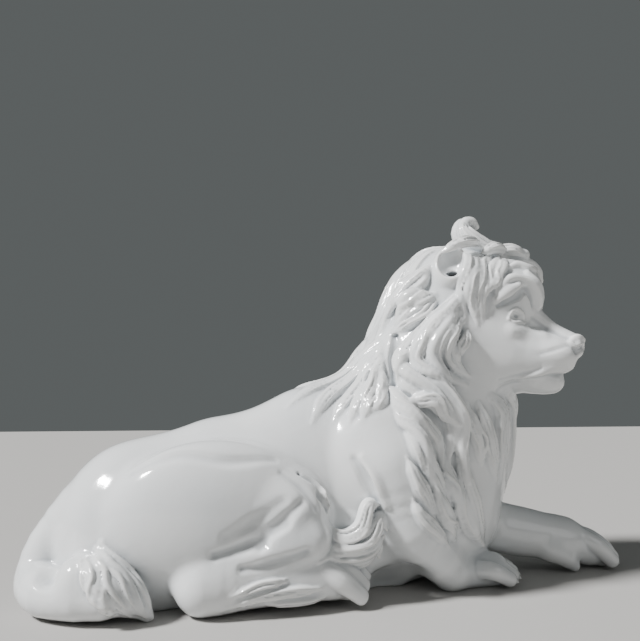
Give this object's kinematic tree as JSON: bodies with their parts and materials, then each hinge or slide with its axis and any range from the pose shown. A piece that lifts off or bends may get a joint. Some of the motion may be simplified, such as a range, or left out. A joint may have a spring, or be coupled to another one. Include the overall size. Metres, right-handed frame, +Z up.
{
  "type": "lion statue",
  "caption": "Recumbent lion statue in white glazed ceramic, cast whole, lying on its belly with its head turned, a carved mane, a foreleg stretched out and the tail curled round the haunch.",
  "frame": {"origin": "on the floor, under the middle of the statue's box", "axes": "+X forward along the body to the stretched paw, +Y to the lion's left, +Z up"},
  "size_m": [0.9812, 0.2992, 0.5989],
  "materials": {
    "glaze": "gloss"
  },
  "bodies": {
    "root": {"lion": "glaze"}
  },
  "joints": []
}
